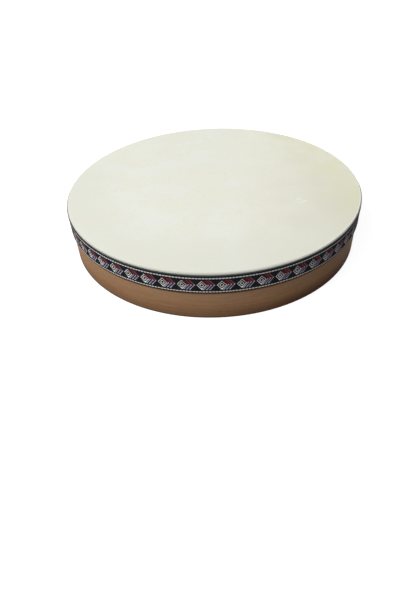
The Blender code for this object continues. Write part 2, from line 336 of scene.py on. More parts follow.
def long_fibres(name):
    """Streaks that run along X: noise drawn out to a length and a width in metres, from 0 to 1."""
    nodes, (vector, length, width, contrast) = new_group(name, "Vector Length Width Contrast", "Value")
    x, y, z = nodes.parts(vector)
    drawn = nodes.vector(x / length, y / width, z / width)
    return nodes.ends(Value=nodes.noise(drawn, 1, contrast, 2.5, 0.55))


def round_the_hoop(name):
    """Distance round the drum from the scarf joint, and from the axis, height, and the joint's glue line."""
    nodes, (vector, outer, wall) = new_group(name, "Vector Outer Wall", "Vector Radius Height Seam")
    x, y, z = nodes.parts(vector)
    radius = nodes.hypot(x, y)
    depth = ((outer - radius) / wall).clamped()
    seam = depth.step(0, 1, SEAM_OUTER, SEAM_INNER, "LINEAR")
    past = nodes.math("DEGREES", nodes.math("ARCTAN2", y, x)) - seam
    around = nodes.math("RADIANS", past % 360.0) * outer
    off_seam = nodes.math("RADIANS", abs(past)) * outer
    line = off_seam < 0.00025 + depth.near(0.5, 0.46, 0.02) * 0.0016
    return nodes.ends(Vector=nodes.vector(around, radius, z), Radius=radius, Height=z, Seam=line)


def round_the_brads(name):
    """Painted shade: a soft dark ring in the wood round each brad's head, two rows of three."""
    nodes, (vector, outer) = new_group(name, "Vector Outer", "Mask")
    x, y, z = nodes.parts(vector)
    along = (nodes.math("ARCTAN2", y, x) - math.radians(BRAD_MIDDLE)) * outer
    column = (nodes.math("ROUND", along / BRAD_PITCH) * BRAD_PITCH).at_most(BRAD_PITCH).at_least(-BRAD_PITCH)
    between = (BRAD_LOW + BRAD_HIGH) / 2
    row = z.step(between - 0.0001, between + 0.0001, BRAD_LOW, BRAD_HIGH)
    off = nodes.hypot(along - column, z - row)
    return nodes.ends(Mask=off.step(0.0015, 0.003, 0.7, 0))


def new_material(name):
    """The nodes of a new material, which hold its Principled shader, and the object's own coordinates."""
    material = bpy.data.materials.new(name)
    material.use_nodes = True
    material.node_tree.nodes.clear()
    nodes = Nodes(material.node_tree)
    surface = nodes.add("ShaderNodeBsdfPrincipled")
    nodes.node("ShaderNodeOutputMaterial", {"Surface": surface})
    nodes.material, nodes.shader = material, surface.socket.node
    return nodes, nodes.add("ShaderNodeTexCoord", output="Object")


# Settings that a user may change


def number(name, description, default, **more):
    return FloatProperty(name=name, description=description, default=default, **more)


def size_of(name, description, default, precision=4):
    return number(name, description, default, unit="LENGTH", precision=precision)


def tint(name, description, *default):
    return FloatVectorProperty(name=name, description=description, default=default, subtype="COLOR")


# Hoop


class HoopSettings(bpy.types.PropertyGroup):
    radius: size_of("Radius", "Outside of the bent hoop", HOOP_RADIUS)
    height: size_of("Height", "From the open rim to the bearing edge", 0.068)
    thumb_hole: size_of("Thumb hole", "Radius of the thumb hole", 0.0125)
    thumb_height: size_of("Thumb hole height", "Its middle above the rim", 0.02065)
    pale: tint("Pale wood", "Wood between the dark fibres", 0.275, 0.16, 0.083)
    dark: tint("Dark wood", "Wood along the dark fibres", 0.166, 0.088, 0.041)
    red: tint("Red wood", "Redder patches of the stain", 0.216, 0.106, 0.058)


def spread(middle, steps):
    """Each step on both sides of a middle."""
    return [middle + side * step for step in steps for side in (-1, 1)]


def snare_places():
    """Distance of each snare from the one in the middle, along Y."""
    snare = bpy.context.scene.bendir_snares
    return [(i - (snare.count - 1) / 2) * snare.pitch for i in range(snare.count)]


def hoop_angles(radius):
    """Degrees at which the hoop's section stands: each degree, closer at thumb hole, seams and snares."""
    angles = [*np.arange(360.0), *np.arange(WINDOW_SIDES[0], WINDOW_SIDES[1] + 0.5, 0.5)]
    for seam in (SEAM_OUTER, SEAM_INNER):
        angles += [seam, *spread(seam, (SEAM_HALF, 2 * SEAM_HALF))]
    for offset in snare_places():
        across = spread(offset, (0.0, 0.0002, 0.00045, 0.0007, 0.0009, 0.00095, 0.0014, 0.0018, 0.0019))
        side = np.degrees(np.arcsin(np.array(across) / radius))
        angles += [*(side % 360), *(180 - side)]
    return np.unique(np.round(angles, 5) % 360)


def hoop_profile(radius, height):
    """The hoop's section: up the outside, over the bearing edge, down the inside and across the rim."""
    inner, top = radius - HOOP_WALL, height - BEARING_ROUND
    window = [WINDOW_ENDS[0], *range(6, 34, 3), 35.5, WINDOW_ENDS[1]]
    knot = [50, 54.9, 55.1, 55.3, 55.8, 56.4, 57, 57.6, 58.2, 58.7, 58.9, 59.1, 62, 65]
    outside = [(radius, z * MM) for z in (2, *window, 42, *knot)]
    inside = [(inner, z * MM) for z in (60, 50, 42, *reversed(window), 2)]
    base = arc((radius - BASE_EASE, BASE_EASE), BASE_EASE, 270, 360, 4)
    bearing = arc((radius - BEARING_ROUND, top), BEARING_ROUND, 0, 90, 8)
    crest = [(x, height) for x in np.linspace(radius - 0.003, inner + INNER_CHAMFER + 0.0003, 3)]
    chamfer = [(inner + INNER_CHAMFER, height - 0.00006), (inner + 0.0015, height - 0.0015)]
    chamfer += [(inner + 0.00005, height - INNER_CHAMFER + 0.00005), (inner, height - INNER_CHAMFER - 0.0003)]
    rim = arc((inner + BASE_EASE, BASE_EASE), BASE_EASE, 180, 270, 4)
    flat = [(x, 0.0) for x in np.linspace(inner + 0.002, radius - 0.002, 5)]
    return np.array([*base, *outside, *bearing, *crest, *chamfer, *inside, *rim, *flat, base[0]])


def seam_groove(points, angles, radius):
    """Presses a fine V along each face where the scarf joint comes out, deepest on the seam itself."""
    away = np.hypot(points[..., 0], points[..., 1])
    for seam, face, side in ((SEAM_OUTER, radius, -1), (SEAM_INNER, radius - HOOP_WALL, 1)):
        near = np.clip(1 - np.abs(angles - seam) / SEAM_HALF, 0, 1)[:, None]
        on_face = np.abs(away - face) < 0.0001
        points[..., :2] *= (1 + side * 0.0003 * near * on_face / away)[..., None]


def snare_slots(points, radius, height):
    """Slots for the snares: a point near a snare's route moves back from it, down or towards the axis.

    The route is level, turns about a corner inside the bearing edge and goes down to the knot, and the
    slot keeps a round bottom about it: depth = sqrt(clear^2 - across^2).
    """
    snare = bpy.context.scene.bendir_snares
    clear = snare.radius + SLOT_CLEAR
    route = SNARE_TURN - snare.radius
    pocket = snare.knot + SLOT_CLEAR
    for offset in snare_places():
        reach = math.sqrt(radius**2 - offset**2)
        corner, level = reach - SNARE_TURN, height - SNARE_TURN
        knot_x, knot_z = reach - snare.knot, height - SNARE_TAIL
        for end in (1, -1):
            x, y, z = points[..., 0] * end, points[..., 1] - offset, points[..., 2]
            deep = np.sqrt(np.clip(clear**2 - y**2, 0, None))
            near = (np.abs(y) < clear * 0.999) & (x > reach - 0.02)
            top = near & (x <= corner) & (z > height - 0.004)
            z[top] = np.minimum(z, level + route - deep)[top]
            bend = near & (x > corner) & (z > level)
            away = np.hypot(x - corner, z - level)
            shrink = np.minimum(1, (route - deep) / np.maximum(away, 1e-9))
            outer = near & (x > corner) & (z <= level) & (z >= knot_z)
            fall = (level - z) / (level - knot_z)
            line = corner + route + (knot_x - corner - route) * fall
            moved = np.where(bend, corner + (x - corner) * shrink, x)
            moved = np.where(outer, np.minimum(x, line - deep), moved)
            z[bend] = (level + (z - level) * shrink)[bend]
            from_knot = y**2 + (z - knot_z) ** 2
            hollow = knot_x - np.sqrt(np.clip(pocket**2 - from_knot, 0, None))
            in_pocket = (from_knot < pocket**2) & (x > reach - 0.003)
            points[..., 0] = np.where(in_pocket, np.minimum(moved, hollow), moved) * end


def thumb_wall(points, columns, outer_rows, inner_rows, hoop):
    """The wall round the thumb hole: from a window in the outer face, over a round edge, through and out.

    Each row is a ring. It goes from the window's outline to a circle by blending, with
    y = sqrt(face^2 - x^2), then round the edge by r = mouth - e sin a, depth = e (1 - cos a).
    """
    left, right = columns
    middle, mouth = hoop.thumb_height, hoop.thumb_hole + THUMB_EASE
    outside, inside = hoop.radius, hoop.radius - HOOP_WALL
    last = points.shape[1] - 1

    def outline(grid, low, high):
        """Once round the window, without repeating its corners."""
        window = grid[left : right + 1, low : high + 1]
        return np.concatenate([window[:-1, 0], window[-1, :-1], window[:0:-1, -1], window[0, :0:-1]])

    outer = outline(points, *outer_rows)
    inner = outline(points[:, ::-1], last - inner_rows[1], last - inner_rows[0])
    turn = np.arctan2(outer[:, 2] - middle, outer[:, 0])

    def ring(face, inwards=0, bend=0, start=outer, share=1):
        """A circle part of the way round the edge, or part of the way from a start's outline."""
        size = mouth - THUMB_EASE * math.sin(bend)
        x = start[:, 0] * (1 - share) + size * np.cos(turn) * share
        z = start[:, 2] * (1 - share) + (middle + size * np.sin(turn)) * share
        y = np.sqrt(face**2 - x**2) + inwards * THUMB_EASE * (1 - math.cos(bend))
        return np.stack([x, y, z], axis=-1)

    shares, bends = (0.3, 0.6, 0.85, 1.0), np.radians([15, 30, 45, 60, 75, 90])
    rows = [outer, *[ring(outside, share=share) for share in shares]]
    rows += [ring(outside, -1, bend) for bend in bends]
    rows += [ring(inside, 1, bend) for bend in reversed(bends)]
    rows += [*[ring(inside, start=inner, share=share) for share in reversed(shares)], inner]
    return grid_surface(np.stack(rows, axis=1), closed=True)


def hoop_mesh(hoop):
    """The hoop: its section turned about Z, with seam grooves, snare slots and the thumb hole."""
    radius, height = hoop.radius, hoop.height
    angles, profile = hoop_angles(radius), hoop_profile(radius, height)
    points = turned_points(angles, profile)
    seam_groove(points, angles, radius)
    snare_slots(points, radius, height)
    _, quads = grid_surface(points, closed=True)
    columns = [int(np.argmin(np.abs(angles - side))) for side in WINDOW_SIDES]
    keep = np.ones(quads.shape[:2], dtype=bool)
    rows = []
    for face in (radius, radius - HOOP_WALL):
        ends = [np.abs(profile - (face, end * MM)).max(axis=1) < TOUCH for end in WINDOW_ENDS]
        low, high = sorted(int(np.flatnonzero(end)[0]) for end in ends)
        keep[columns[0] : columns[1], low:high] = False
        rows.append((low, high))
    hole = thumb_wall(points, columns, *rows, hoop)
    return welded_mesh("hoop", [(points.reshape(-1, 3), quads[keep]), hole])


def hoop_wood(hoop):
    """Stained bentwood: fibres and flecks round the hoop, redder patches, dull varnish, and painted shade
    under the ribbon, low down, along the eased rim and round the brads.
    """
    nodes, place = new_material("hoop_wood")
    around, radius, height, seam = nodes.group(
        round_the_hoop, Vector=place, Outer=hoop.radius, Wall=HOOP_WALL
    )
    painted_brad_shade = nodes.group(round_the_brads, Vector=place, Outer=hoop.radius)[0]
    x, y, z = nodes.parts(place)
    broad = nodes.fibres(around, 0.22, 0.011, 2.2)
    fine = nodes.fibres(around, 0.05, 0.0018, 3)
    hair = nodes.fibres(around, 0.018, 0.0006, 3.2)
    patch = nodes.mottle(place, 0.05, 2.4)
    fleck = nodes.fibres(around, 0.005, 0.00028, 3.4).step(0.22, 0.02)
    light = nodes.fibres(around, 0.01, 0.0004, 3).step(0.72, 1)
    outer_face = radius.step(0.2, 0.202)
    # Painted shadow: the wood darkened in a band just below the ribbon's lower edge
    painted_shadow_under_ribbon = height.step(0.0368, 0.039, 0, 0.85) * outer_face
    # Painted shade: the wall darker low down, most towards +X
    low = (height.step(0, 0.024, 0.48, 0) * x.step(-0.04, 0.17, 1.05, 2.15)).clamped()
    off_hole = nodes.hypot(x, z - hoop.thumb_height)
    handled = off_hole.step(hoop.thumb_hole + 0.0004, hoop.thumb_hole + 0.007, 0.6, 0) * (y > 0)
    colour = nodes.layers(
        hoop.dark,
        (broad * 0.3 + fine * 0.45 + hair * 0.25, hoop.pale),
        (patch * 0.45, hoop.red),
        (fleck * 0.42, (0.075, 0.038, 0.02)),
        (light * 0.22, (0.4, 0.255, 0.15)),
        (height.step(0.016, 0.036, 0, 0.28), (0.275, 0.18, 0.116)),  # paler and greyer towards the top of the wall
        # painted shadow under the ribbon
        (painted_shadow_under_ribbon, (0.03, 0.016, 0.01)),
        (low, (0.058, 0.026, 0.015)),  # painted shade low down, most towards +X
        (height.step(0.001, 0.003, 0.85, 0), (0.045, 0.025, 0.017)),  # painted shade along the eased rim at the foot of the wall
        (handled, (0.12, 0.06, 0.035)),
        (seam * 0.8, (0.05, 0.028, 0.018)),
        # painted shade round the brads' heads
        (painted_brad_shade * outer_face, (0.06, 0.032, 0.02)),
    )
    rough = 0.46 + hair * 0.14 - handled * 0.12
    normal = nodes.bumps((fine * 0.6 + hair * 0.4, 0.00007, 0.6), (fleck, 0.00008, -0.5))
    return nodes.dress(Base_Color=colour, Roughness=rough, Normal=normal, Specular_IOR_Level=0.012)


class BENDIR_OT_hoop(bpy.types.Operator):
    """Makes the bent hoop with its scarf seams, thumb hole and snare slots"""

    bl_idname = "bendir.hoop"
    bl_label = "Hoop"

    def execute(self, context):
        hoop = context.scene.bendir_hoop
        add_piece("bent_hoop", hoop_mesh(hoop), hoop_wood(hoop), "hoop_wood", "frame_hoop")
        return {"FINISHED"}


# Head


class HeadSettings(bpy.types.PropertyGroup):
    top: size_of("Top", "Height of the head's face", 0.0691)
    edge: size_of("Edge rounding", "Radius of the skin's turn over the hoop", 0.0020)
    cream: tint("Cream", "Main colour of the skin", 0.735, 0.744, 0.642)
    grey: tint("Grey patches", "Cooler, whiter patches", 0.745, 0.757, 0.697)
    pink: tint("Pink patches", "Faint warm patches", 0.702, 0.669, 0.588)
    # Painted shade: the tan side is the skin darkened towards +X
    tan: tint("Tan side", "Darker side of the skin", 0.57, 0.565, 0.455)
    # Yellow patches, also painted shade near the +X edge
    yellow: tint("Yellow patches", "Yellower patches on the tan side", 0.585, 0.58, 0.4)


def head_mesh(head):
    """The skin: flat, round its edge and down to its hem, and back along its inside, turned about Z."""
    edge, top = head.edge, head.top
    centre, thick = (SKIN_OUTER - edge, top - edge), top - HEAD_UNDERSIDE
    rings = [0, 0.01, 0.025, 0.045, 0.07, 0.1, 0.13, 0.155, 0.175, 0.188, 0.195, 0.1985, 0.2003]
    heights = [0.047, 0.052, 0.058, 0.063]
    inside = [(r, HEAD_UNDERSIDE) for r in rings]
    inner = arc(centre, edge - thick, 90, 0, 8)
    skirt = [(SKIN_INNER, z) for z in (*reversed(heights), SKIN_HEM + thick / 2)]
    hem = arc(((SKIN_INNER + SKIN_OUTER) / 2, SKIN_HEM + thick / 2), thick / 2, 180, 360, 6)[1:]
    outer = [(SKIN_OUTER, z) for z in heights]
    roll = arc(centre, edge, 0, 90, 12)
    face = [(r, top) for r in reversed(rings)]
    points = turned_points(np.arange(360.0), [*inside, *inner, *skirt, *hem, *outer, *roll, *face])
    return welded_mesh("head", [grid_surface(points, closed=True)], sharp=60)


def goatskin(head):
    """Rawhide: cloudy cream, grey, pink and yellowish, with pores and grain, painted shade on its +X side,
    its front and where it rolls over, and painted light on the roll towards the right front.
    """
    nodes, place = new_material("goatskin")
    x, y, z = nodes.parts(place)
    radius = nodes.hypot(x, y)

    def cloud(size, contrast, shift):
        """Patches of their own for each shift."""
        shifted = nodes.add("ShaderNodeVectorMath", {0: place, 1: (shift, shift * 2, 0)})
        return nodes.mottle(shifted, size, contrast)

    def toward(east, north, start, stop):
        """From 0 to 1 across the head, towards that mix of +X and +Y."""
        return (x * east + y * north).step(start, stop)

    fine = cloud(0.0035, 1.6, 1)
    pore = nodes.add("ShaderNodeTexVoronoi", {"Vector": place, "Scale": 700}).step(0.12, 0.3, 1, 0)
    # Yellow patches and painted shade near the +X edge
    yellow = (cloud(0.045, 3.4, 5) + 0.25).clamped() * toward(1, 0.25, 0.11, 0.195)
    scuff_place = {0: place, 1: (0.117, -0.053, 0.0691)}
    off_scuff = nodes.add("ShaderNodeVectorMath", scuff_place, 1, operation="DISTANCE")
    scuff = off_scuff.step(0.003, 0.012, 0.7, 0) * cloud(0.0022, 3, 17).step(0.6, 0.8)
    # Painted shade on the front part of the head
    painted_front_shade = radius.step(0.1, 0.195, 0, 0.6) * toward(-0.5, -0.85, -0.05, 0.1)
    # Painted shade where the skin rolls over the hoop, mostly on the -X side
    roll = radius.step(0.2021, 0.2041, 0, 0.72) * (0.05 + toward(-1, 0, -0.13, 0.02) * 0.95)
    flesh = nodes.mix(cloud(0.02, 2.4, 9), (0.66, 0.58, 0.43), (0.55, 0.46, 0.32))
    colour = nodes.layers(
        head.cream,
        (cloud(0.055, 4.6, 0) * toward(-1, -0.2, -0.12, 0.02), head.grey),
        (cloud(0.04, 3.8, 11) * toward(0.95, -0.25, -0.02, 0.15) * 0.75, head.pink),
        (cloud(0.022, 2.4, 3).step(0.8, 1, 0, 0.35), (0.8, 0.7, 0.62)),  # warm spots
        # painted shade on the +X side
        (toward(1, -0.1, 0.04, 0.205) * 0.9, head.tan),
        (yellow * 0.9, head.yellow),
        (fine * 0.1, (0.6, 0.57, 0.46)),
        (cloud(0.008, 2.2, 13).step(0.55, 0.95, 0, 0.14), (0.64, 0.6, 0.5)),  # flakes
        (pore * 0.16, (0.42, 0.36, 0.26)),
        (scuff, (0.86, 0.85, 0.82)),
        (painted_front_shade, (0.655, 0.662, 0.585)),
        # painted shade on the rolled edge
        (roll, (0.34, 0.34, 0.3)),
        (radius.step(0.2016, 0.203) * toward(0.85, -0.5, 0.15, 0.198), (0.86, 0.85, 0.76)),  # painted light on the rolled edge towards +X and the front
        ((z < 0.0687) * (radius < 0.2019), flesh),  # inside of the skin
    )
    normal = nodes.bumps((cloud(0.02, 1.5, 2), 0.0002, 0.25), (fine, 0.00008, 0.5), (pore, 0.00005, -0.6))
    return nodes.dress(Base_Color=colour, Roughness=0.5 + fine * 0.14, Normal=normal, Specular_IOR_Level=0.16)


class BENDIR_OT_head(bpy.types.Operator):
    """Makes the goatskin head, flat on top and lapped down the outside of the hoop"""

    bl_idname = "bendir.head"
    bl_label = "Head"

    def execute(self, context):
        head = context.scene.bendir_head
        add_piece("skin_head", head_mesh(head), goatskin(head), "goatskin", "goatskin_head")
        return {"FINISHED"}


# Ribbon


class RibbonSettings(bpy.types.PropertyGroup):
    top: size_of("Top", "Height of the upper selvedge", 0.0667)
    width: size_of("Width", "Width of the ribbon", 0.0254)
    thickness: size_of("Thickness", "Thickness of the weave", RIBBON_THICK)
    repeat: size_of("Repeat", "Length of one diamond and its chevrons", 0.02277, precision=5)
    phase: number("Phase", "Angle to one diamond's middle", math.radians(272.0873), subtype="ANGLE")
    ground: tint("Ground", "Warp of the ground", 0.008, 0.009, 0.011)
    white: tint("White thread", "Diamonds and edge cords", 0.92, 0.92, 0.89)
    crimson: tint("Crimson thread", "Upper arms of the chevrons", 0.07, 0.007, 0.012)
    lavender: tint("Lavender thread", "Lower arms of the chevrons", 0.026, 0.023, 0.046)


def ribbon_path(angles):
    """Distance of the ribbon's middle from the axis: level, then up a smooth ramp onto its own start."""
    climb = np.clip((angles - RAMP_FOOT) / (RAMP_TOP - RAMP_FOOT), 0, 1)
    climb = climb * climb * (3 - 2 * climb)
    loose = waves(np.radians(angles), (7, 11, 17), (0.00003, 0.00002, 0.00002), (0.4, 1.9, 3.1))
    return RIBBON_OUTER - RIBBON_THICK / 2 + LAP_LIFT * climb + loose


def ribbon_section(width, thickness):
    """Across the ribbon: distance below its top, and half thickness, with round selvedges and cords."""
    down = [0, 0.04, 0.15, 0.35, 0.8, 2, 3.2, 3.65, 4.1, 4.35, 4.6, 4.85, 5.1, 5.55, 6.1, 8, 11, 14, 17, 20]
    down += [22.2, 22.75, 23.1, 23.35, 23.8, 24.25, 24.5, 24.85, 25.05, 25.25, 25.36, 25.4]
    down = np.array(down) * MM
    edge = np.minimum(down, width - down) / 0.0004
    half = thickness / 2 * np.sqrt(1 - (1 - np.clip(edge, 0, 1)) ** 2)
    cord = sum(np.clip(1 - (down - middle) ** 2 / reach**2, 0, None) for middle, reach in RAISED_CORDS)
    return down, half, half - 0.0001 * np.clip(edge, 0, 1) + 0.00016 * cord


def ribbon_mesh(ribbon):
    """A band round the drum: its outer and inner faces meet in round selvedges and in two thin ends.

    The position is (path + side * half) (cos a, sin a), z = top - down + a slight unevenness. Its UV map
    gives each point's distance along the ribbon from a diamond's middle, and its distance below the top.
    """
    tips = [0.01, 0.04, 0.1, 0.2]
    ends = [RIBBON_START + t for t in tips] + [RIBBON_STOP - t for t in tips]
    angles = [*np.arange(RIBBON_START, RIBBON_STOP, 0.5), *ends, RIBBON_STOP]
    angles = np.unique(np.round(angles, 5))
    from_tip = np.minimum(angles - RIBBON_START, RIBBON_STOP - angles) / tips[-1]
    blunt = np.sqrt(1 - (1 - np.clip(from_tip, 0, 1)) ** 2)[:, None]
    down, back, front = ribbon_section(ribbon.width, ribbon.thickness)
    path, turn = ribbon_path(angles)[:, None], np.radians(angles)[:, None]
    sway = waves(turn, (5, 9, 23), (0.00008, 0.00006, 0.00003), (2.2, 0.7, 1.3))
    z = ribbon.top - down[None, :] + sway * np.sin(np.pi * (down / ribbon.width))[None, :]
    outer, inner = [
        np.stack([away * np.cos(turn), away * np.sin(turn), z], axis=-1)
        for away in (path + front * blunt, path - back * blunt)
    ]
    mesh = welded_mesh("ribbon", [grid_surface(outer[:, ::-1]), grid_surface(inner)], sharp=80)
    # The welded points stand in the order of their keys, so the same keys find the place of each
    keys = np.round(np.concatenate([outer.reshape(-1, 3), inner.reshape(-1, 3)]) / WELD)
    _, first = np.unique(keys.astype(np.int64), axis=0, return_index=True)
    along = np.repeat(RIBBON_OUTER * (np.radians(angles) - ribbon.phase), len(down))
    across = np.tile(down, len(angles))
    places = np.stack([np.tile(along, 2), np.tile(across, 2)], axis=-1)[first]
    corner = np.empty(len(mesh.loops), dtype=np.int64)
    mesh.loops.foreach_get("vertex_index", corner)
    layer = mesh.uv_layers.new(name="ribbon_length")
    layer.uv.foreach_set("vector", places[corner].astype(np.float32).ravel())
    return mesh


def woven_figure(name):
    """Colour of the ribbon at a place along and down it, in millimetres, and how far its threads float.

    A diamond is |x| / 5.55 + |y| / 6.8 < 1 about its middle (5.94 for 6.8 in its upper half), in rings:
    white, dark with faint links, white and a dark eye. Right of it x + 0.83 |y| counts out three chevrons,
    crimson above and lavender below.
    """
    nodes, given = new_group(name, "Along Down Repeat Ground White Crimson Lavender", "Color Float")
    along, down, repeat, ground, white_thread, crimson, lavender = given
    left, middle = 6.6, 14.05  # the diamond's reach to its left, and how far down its middle lies
    x = ((nodes.math("FLOOR", along / WEFT_PITCH) + 0.5) * WEFT_PITCH + left) % repeat - left
    y = (nodes.math("FLOOR", down / WARP_PITCH) + 0.5) * WARP_PITCH - middle
    upper = y < 0.0
    ax, ay = abs(x), abs(y)
    dx = ax / 5.55
    d = dx + ay / (6.8 - upper * 0.86)
    inside = d < 1.0
    share = dx / d.at_least(0.01)
    link = (share.near(0.32, 0.055, 0.05) + share.near(0.69, 0.055, 0.05)).clamped()
    ring, small = d.near(0.945, 0.064, 0.04), d.near(0.4, 0.06, 0.05)
    foot = d.near(0.895, 0.105, 0.04) * (y > 4.4)
    white = (ring.at_least(foot) + small + d.near(0.66, 0.2, 0.04) * (link * 0.4)).clamped()
    fold = x + ay * 0.83
    last, tall = 15.1 + upper * 0.8, 6.9 + upper * 1.1
    body = (fold > 4.6) * (fold < last) * (ay < tall) * (x > 0.0)
    outer_line = fold.near(14.6, 0.65, 0.3)
    lines = (fold.near(7.6, 0.5, 0.3) + fold.near(10.95, 0.55, 0.3) + outer_line).clamped()
    tip = lines * y.near(0, 0.75, 0.5)
    red = nodes.layers(
        crimson,
        (lines * fold.step(8.5, 9.5, 0, 0.45), (0.26, 0.09, 0.1)),
        (fold.step(5.5, 9.5, 0.45, 0), ground),
        (outer_line * 0.5, (0.16, 0.1, 0.11)),
        (y.step(-8.2, -5, 0.75, 0), ground),
    )
    shade = nodes.mix(fold.near(6.3, 0.8, 0.5), lavender, (0.1, 0.105, 0.145))
    stripe = nodes.mix(y.step(3.5, 6), (0.31, 0.3, 0.39), (0.5, 0.5, 0.58))
    arms = nodes.layers(shade, (lines, stripe), (upper, red), (tip * 0.7, (0.66, 0.46, 0.51)))
    warm = nodes.mix(upper * (x > 0.5), white_thread, (0.68, 0.52, 0.5))
    period = repeat / 6
    dash = (along % period).near(period * 0.5, 1.35, 0.5)
    upper_cord, lower_cord = down.near(UPPER_CORD, 0.66, 0.3), down.near(LOWER_CORD, 0.55, 0.3)
    colour = nodes.layers(
        ground,
        (body, arms),
        (inside, nodes.mix(white, (0.006, 0.006, 0.006), warm)),
        (upper_cord, nodes.mix(dash, (0.155, 0.175, 0.185), (0.62, 0.64, 0.64))),
        (lower_cord, nodes.mix(dash, (0.18, 0.165, 0.15), (0.68, 0.635, 0.585))),
        (down.step(0.6, 1.9, 0.95, 0), (0.135, 0.14, 0.125)),  # greyer along the upper selvedge
        (down > 24.4, (0.018, 0.012, 0.008)),  # dark lower selvedge
    )
    floats = (inside * white).at_least(body * (lines * 0.5 + 0.4))
    return nodes.ends(Color=colour, Float=floats.at_least(upper_cord.at_least(lower_cord) * dash))


def woven_ribbon(ribbon):
    """Jacquard ribbon: its figure in thread-sized steps, its weave and raised floats in the bump."""
    nodes, place = new_material("woven_ribbon")
    along, down, _ = nodes.parts(nodes.add("ShaderNodeUVMap", uv_map="ribbon_length"))
    along, down = along * 1000.0, down * 1000.0
    colour, floats = nodes.group(
        woven_figure, Along=along, Down=down, Repeat=ribbon.repeat * 1000,
        Ground=ribbon.ground, White=ribbon.white, Crimson=ribbon.crimson, Lavender=ribbon.lavender,
    )
    warp = abs(nodes.math("SINE", down * (math.pi / WARP_PITCH)))
    weft = abs(nodes.math("SINE", along * (math.pi / WEFT_PITCH)))
    thread = warp * weft
    fade = nodes.mottle(place, 0.02, 1.6)
    # Painted shade in the grooves between the threads, less over the floats
    painted_weave_shade = (1 - thread) * (0.5 - floats * 0.27)
    colour = nodes.layers(colour, (painted_weave_shade, (0.008, 0.008, 0.01)), (fade * 0.03, (0.1, 0.09, 0.09)))
    normal = nodes.bumps((floats * 0.6 + thread * 0.4, 0.00018, 0.8))
    rough = 0.85 - floats * 0.25
    return nodes.dress(Base_Color=colour, Roughness=rough, Normal=normal, Specular_IOR_Level=0.03)


class BENDIR_OT_ribbon(bpy.types.Operator):
    """Makes the woven ribbon, once round the drum and lapped over its own start"""

    bl_idname = "bendir.ribbon"
    bl_label = "Ribbon"

    def execute(self, context):
        ribbon = context.scene.bendir_ribbon
        band = add_piece("woven_ribbon", ribbon_mesh(ribbon), woven_ribbon(ribbon), "ribbon", "ribbon_trim")
        return {"FINISHED"}


# Snares


class SnareSettings(bpy.types.PropertyGroup):
    count: IntProperty(name="Count", description="Gut strings under the head", default=3)
    radius: size_of("Radius", "Radius of one string", 0.0006, precision=5)
    pitch: size_of("Pitch", "Between two strings", 0.007)
    knot: size_of("Knot", "Radius of a knot", 0.0015)
    twist: size_of("Twist", "Length of one turn of the twist", 0.006)
    amber: tint("Amber", "Thin gut", 0.66, 0.5, 0.28)
    tan: tint("Tan", "Gut in the twist's grooves", 0.34, 0.21, 0.1)


def snare_route(offset, hoop, snare):
    """Even points along a snare as (x, z): up from a knot, round a corner, across, and down again."""
    reach = math.sqrt(hoop.radius**2 - offset**2)
    corner = (reach - SNARE_TURN, hoop.height - SNARE_TURN)
    knot = (reach - snare.knot, hoop.height - SNARE_TAIL - snare.knot)
    half = np.array([*arc(corner, SNARE_TURN - snare.radius, 90, 0, 16), knot])
    whole = np.concatenate([half[::-1] * (-1, 1), half])
    length = np.concatenate([[0], np.cumsum(np.hypot(*np.diff(whole, axis=0).T))])
    even = np.linspace(0, length[-1], int(length[-1] / 0.0004))
    return np.interp(even, length, whole[:, 0]), np.interp(even, length, whole[:, 1]), even


def snare_mesh(name, offset, hoop, snare):
    """A twisted string: a tube of radius r (0.92 + 0.08 cos 3 (a - turn)) with a ball at each end."""
    x, z, along = [line[:, None] for line in snare_route(offset, hoop, snare)]
    knot = snare.knot
    run, rise = np.gradient(x, axis=0), np.gradient(z, axis=0)
    size = np.hypot(run, rise)
    run, rise = run / size, rise / size
    around = np.radians(np.arange(0, 360, 30))[None, :]
    turn = 2 * np.pi * along / snare.twist
    swell = snare.radius * (0.92 + 0.08 * np.cos(3 * (around - turn)))
    from_end = np.minimum(along, along[-1] - along)
    ball = np.sqrt(np.clip(knot**2 - (from_end - knot) ** 2, 0, None))
    ball = ball * (1 - 0.07 * np.cos(2 * around + from_end / 0.0003))
    swell = np.where(from_end < 2 * knot, np.maximum(np.where(from_end < knot, 0, swell), ball), swell)
    swell[0], swell[-1] = 0, 0
    out, side = np.cos(around) * swell, np.sin(around) * swell
    points = np.stack([x - rise * out, offset + side, z + run * out], axis=-1)
    return welded_mesh(name, [grid_surface(points.transpose(1, 0, 2)[::-1], closed=True)], sharp=80)


def twisted_gut(snare):
    """Dried gut: tan and amber in long streaks, browner patches and a satin gloss."""
    nodes, place = new_material("twisted_gut")
    patch = nodes.mottle(place, 0.012, 2)
    fibre = nodes.fibres(place, 0.006, 0.0003, 2.2)
    colour = nodes.layers(snare.tan, (fibre, snare.amber), (patch * 0.35, (0.5, 0.33, 0.16)))
    normal = nodes.bumps((fibre, 0.00005, 0.6))
    return nodes.dress(Base_Color=colour, Roughness=0.32 + patch * 0.15, Normal=normal)


class BENDIR_OT_snares(bpy.types.Operator):
    """Makes the gut snares, from knot to knot under the head"""

    bl_idname = "bendir.snares"
    bl_label = "Snares"

    def execute(self, context):
        snare, hoop = context.scene.bendir_snares, context.scene.bendir_hoop
        material = twisted_gut(snare)
        for i, offset in enumerate(snare_places(), 1):
            mesh = snare_mesh(f"snare_{i}", offset, hoop, snare)
            add_piece(f"snare_{i}", mesh, material, "gut", f"snare_gut_{i}")
        return {"FINISHED"}


# Brads and tacks


